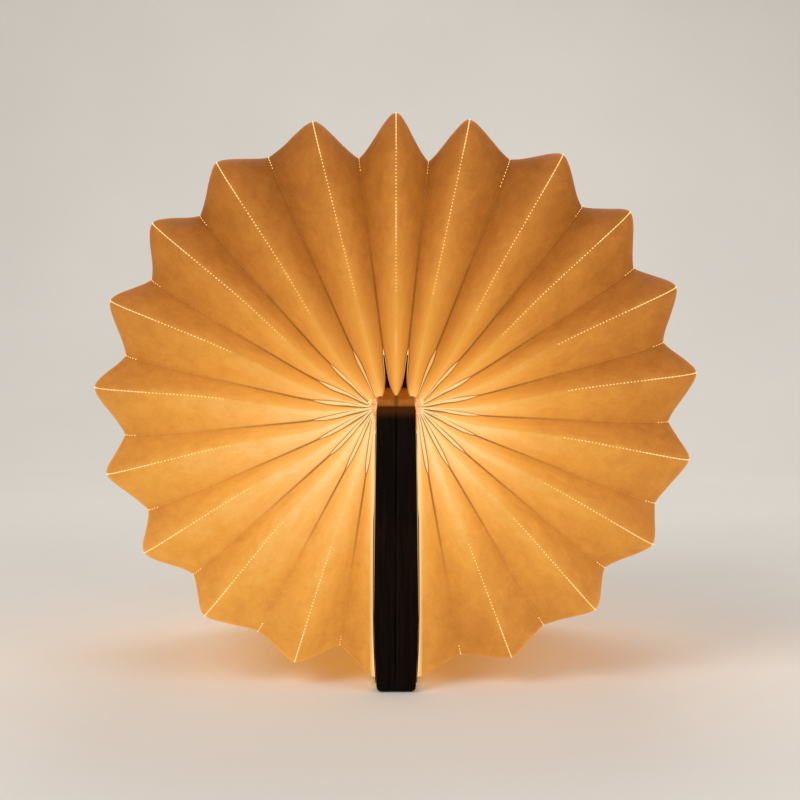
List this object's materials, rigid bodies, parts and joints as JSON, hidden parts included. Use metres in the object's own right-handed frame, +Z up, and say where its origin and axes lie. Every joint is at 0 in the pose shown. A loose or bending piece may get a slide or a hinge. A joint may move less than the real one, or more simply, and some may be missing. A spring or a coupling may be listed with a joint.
{
  "type": "folding book lamp",
  "caption": "Book-shaped lamp with wooden covers hinged on a lit spine; opened right round, its pleated paper pages make a round lantern.",
  "frame": {"origin": "on the table, under the middle of the two covers' standing edges, half way along the spine", "axes": "+Y along the spine from front to rear, +X to the right across the covers, +Z up; the lamp is opened right round"},
  "size_m": [0.1914, 0.122, 0.1822],
  "materials": {
    "walnut": "satin",
    "shade_paper": "matte",
    "lining_paper": "matte",
    "hinge_cloth": "matte",
    "spine_leather": "satin",
    "bar_plastic": "matte",
    "opal_plastic": "satin",
    "board_white": "satin",
    "lamp_amber": "gloss",
    "board_green": "satin",
    "chip_black": "matte",
    "pin_gold": "polished",
    "cell_foil": "satin",
    "foam_tape": "matte",
    "socket_steel": "satin",
    "screw_steel": "satin",
    "magnet_nickel": "polished",
    "lead_red": "satin",
    "lead_black": "satin"
  },
  "bodies": {
    "spine": {"spine_strip": "spine_leather", "front_ramp": "spine_leather", "bar_tape": "foam_tape", "bar_tray": "bar_plastic", "bar_diffuser": "opal_plastic", "front_cap": "bar_plastic", "socket_housing": "bar_plastic", "cap_screws": "screw_steel", "led_board": "board_white", "lamps": "lamp_amber", "battery_cell": "cell_foil", "battery_pad": "foam_tape", "control_board": "board_green", "board_parts": "chip_black", "link_pins": "pin_gold", "fold_sensor": "chip_black", "socket_shell": "socket_steel", "socket_tongue": "chip_black", "red_lead": "lead_red", "black_lead": "lead_black", "top_pleat": "shade_paper"},
    "left_cover": {"left_board": "walnut", "left_lining": "lining_paper", "left_hinge_cloth": "hinge_cloth", "left_magnets": "magnet_nickel", "sensor_magnet": "magnet_nickel", "left_end_pleat": "shade_paper"},
    "right_cover": {"right_board": "walnut", "right_lining": "lining_paper", "right_hinge_cloth": "hinge_cloth", "right_magnets": "magnet_nickel", "right_end_pleat": "shade_paper"},
    "left_pleat_1": {"left_pleat_1": "shade_paper"},
    "left_pleat_2": {"left_pleat_2": "shade_paper"},
    "left_pleat_3": {"left_pleat_3": "shade_paper"},
    "left_pleat_4": {"left_pleat_4": "shade_paper"},
    "left_pleat_5": {"left_pleat_5": "shade_paper"},
    "left_pleat_6": {"left_pleat_6": "shade_paper"},
    "left_pleat_7": {"left_pleat_7": "shade_paper"},
    "left_pleat_8": {"left_pleat_8": "shade_paper"},
    "left_pleat_9": {"left_pleat_9": "shade_paper"},
    "right_pleat_1": {"right_pleat_1": "shade_paper"},
    "right_pleat_2": {"right_pleat_2": "shade_paper"},
    "right_pleat_3": {"right_pleat_3": "shade_paper"},
    "right_pleat_4": {"right_pleat_4": "shade_paper"},
    "right_pleat_5": {"right_pleat_5": "shade_paper"},
    "right_pleat_6": {"right_pleat_6": "shade_paper"},
    "right_pleat_7": {"right_pleat_7": "shade_paper"},
    "right_pleat_8": {"right_pleat_8": "shade_paper"},
    "right_pleat_9": {"right_pleat_9": "shade_paper"}
  },
  "joints": [
    {"name": "left_cover_hinge", "type": "hinge", "parent": "spine", "child": "left_cover", "pos_m": [-0.0065, 0, 0.0914], "axis": [0, 1, 0], "range_deg": [0, 180], "deforming": ["left_end_pleat", "top_pleat"]},
    {"name": "right_cover_hinge", "type": "hinge", "parent": "spine", "child": "right_cover", "pos_m": [0.0065, 0, 0.0914], "axis": [0, -1, 0], "range_deg": [0, 180], "deforming": ["right_end_pleat"]},
    {"name": "left_pleat_1_fold", "type": "hinge", "parent": "spine", "child": "left_pleat_1", "pos_m": [-0.00401, 0, 0.07612], "axis": [0, 1, 0], "range_deg": [0, 14.05], "deforming": ["left_pleat_1"]},
    {"name": "left_pleat_2_fold", "type": "hinge", "parent": "spine", "child": "left_pleat_2", "pos_m": [-0.00419, 0, 0.08354], "axis": [0, 1, 0], "range_deg": [0, 34.05], "deforming": ["left_pleat_2"]},
    {"name": "left_pleat_3_fold", "type": "hinge", "parent": "spine", "child": "left_pleat_3", "pos_m": [-0.00434, 0, 0.08746], "axis": [0, 1, 0], "range_deg": [0, 52.05], "deforming": ["left_pleat_3"]},
    {"name": "left_pleat_4_fold", "type": "hinge", "parent": "spine", "child": "left_pleat_4", "pos_m": [-0.00456, 0, 0.08939], "axis": [0, 1, 0], "range_deg": [0, 70.05], "deforming": ["left_pleat_4"]},
    {"name": "left_pleat_5_fold", "type": "hinge", "parent": "spine", "child": "left_pleat_5", "pos_m": [-0.0048, 0, 0.09053], "axis": [0, 1, 0], "range_deg": [0, 88.05], "deforming": ["left_pleat_5"]},
    {"name": "left_pleat_6_fold", "type": "hinge", "parent": "spine", "child": "left_pleat_6", "pos_m": [-0.00506, 0, 0.09128], "axis": [0, 1, 0], "range_deg": [0, 106.05], "deforming": ["left_pleat_6"]},
    {"name": "left_pleat_7_fold", "type": "hinge", "parent": "spine", "child": "left_pleat_7", "pos_m": [-0.00531, 0, 0.09179], "axis": [0, 1, 0], "range_deg": [0, 124.05], "deforming": ["left_pleat_7"]},
    {"name": "left_pleat_8_fold", "type": "hinge", "parent": "spine", "child": "left_pleat_8", "pos_m": [-0.00557, 0, 0.09213], "axis": [0, 1, 0], "range_deg": [0, 142.05], "deforming": ["left_pleat_8"]},
    {"name": "left_pleat_9_fold", "type": "hinge", "parent": "spine", "child": "left_pleat_9", "pos_m": [-0.00583, 0, 0.09238], "axis": [0, 1, 0], "range_deg": [0, 163.05], "deforming": ["left_pleat_9"]},
    {"name": "right_pleat_1_fold", "type": "hinge", "parent": "spine", "child": "right_pleat_1", "pos_m": [0.00424, 0, 0.07336], "axis": [0, -1, 0], "range_deg": [0, 12.05], "deforming": ["right_pleat_1"]},
    {"name": "right_pleat_2_fold", "type": "hinge", "parent": "spine", "child": "right_pleat_2", "pos_m": [0.00422, 0, 0.08262], "axis": [0, -1, 0], "range_deg": [0, 31.05], "deforming": ["right_pleat_2"]},
    {"name": "right_pleat_3_fold", "type": "hinge", "parent": "spine", "child": "right_pleat_3", "pos_m": [0.00436, 0, 0.0871], "axis": [0, -1, 0], "range_deg": [0, 49.05], "deforming": ["right_pleat_3"]},
    {"name": "right_pleat_4_fold", "type": "hinge", "parent": "spine", "child": "right_pleat_4", "pos_m": [0.00457, 0, 0.08921], "axis": [0, -1, 0], "range_deg": [0, 67.05], "deforming": ["right_pleat_4"]},
    {"name": "right_pleat_5_fold", "type": "hinge", "parent": "spine", "child": "right_pleat_5", "pos_m": [0.00481, 0, 0.09043], "axis": [0, -1, 0], "range_deg": [0, 85.05], "deforming": ["right_pleat_5"]},
    {"name": "right_pleat_6_fold", "type": "hinge", "parent": "spine", "child": "right_pleat_6", "pos_m": [0.00506, 0, 0.09121], "axis": [0, -1, 0], "range_deg": [0, 103.05], "deforming": ["right_pleat_6"]},
    {"name": "right_pleat_7_fold", "type": "hinge", "parent": "spine", "child": "right_pleat_7", "pos_m": [0.00532, 0, 0.09176], "axis": [0, -1, 0], "range_deg": [0, 122.05], "deforming": ["right_pleat_7"]},
    {"name": "right_pleat_8_fold", "type": "hinge", "parent": "spine", "child": "right_pleat_8", "pos_m": [0.00558, 0, 0.09211], "axis": [0, -1, 0], "range_deg": [0, 140.05], "deforming": ["right_pleat_8"]},
    {"name": "right_pleat_9_fold", "type": "hinge", "parent": "spine", "child": "right_pleat_9", "pos_m": [0.00584, 0, 0.09236], "axis": [0, -1, 0], "range_deg": [0, 160.05], "deforming": ["right_pleat_9"]}
  ],
  "couplings": [
    {"joint": "left_pleat_1_fold", "follows": "left_cover_hinge", "ratio": 0.077778},
    {"joint": "left_pleat_2_fold", "follows": "left_cover_hinge", "ratio": 0.18889},
    {"joint": "left_pleat_3_fold", "follows": "left_cover_hinge", "ratio": 0.28889},
    {"joint": "left_pleat_4_fold", "follows": "left_cover_hinge", "ratio": 0.38889},
    {"joint": "left_pleat_5_fold", "follows": "left_cover_hinge", "ratio": 0.48889},
    {"joint": "left_pleat_6_fold", "follows": "left_cover_hinge", "ratio": 0.58889},
    {"joint": "left_pleat_7_fold", "follows": "left_cover_hinge", "ratio": 0.68889},
    {"joint": "left_pleat_8_fold", "follows": "left_cover_hinge", "ratio": 0.78889},
    {"joint": "left_pleat_9_fold", "follows": "left_cover_hinge", "ratio": 0.90556},
    {"joint": "right_pleat_1_fold", "follows": "right_cover_hinge", "ratio": 0.066667},
    {"joint": "right_pleat_2_fold", "follows": "right_cover_hinge", "ratio": 0.17222},
    {"joint": "right_pleat_3_fold", "follows": "right_cover_hinge", "ratio": 0.27222},
    {"joint": "right_pleat_4_fold", "follows": "right_cover_hinge", "ratio": 0.37222},
    {"joint": "right_pleat_5_fold", "follows": "right_cover_hinge", "ratio": 0.47222},
    {"joint": "right_pleat_6_fold", "follows": "right_cover_hinge", "ratio": 0.57222},
    {"joint": "right_pleat_7_fold", "follows": "right_cover_hinge", "ratio": 0.67778},
    {"joint": "right_pleat_8_fold", "follows": "right_cover_hinge", "ratio": 0.77778},
    {"joint": "right_pleat_9_fold", "follows": "right_cover_hinge", "ratio": 0.88889}
  ]
}
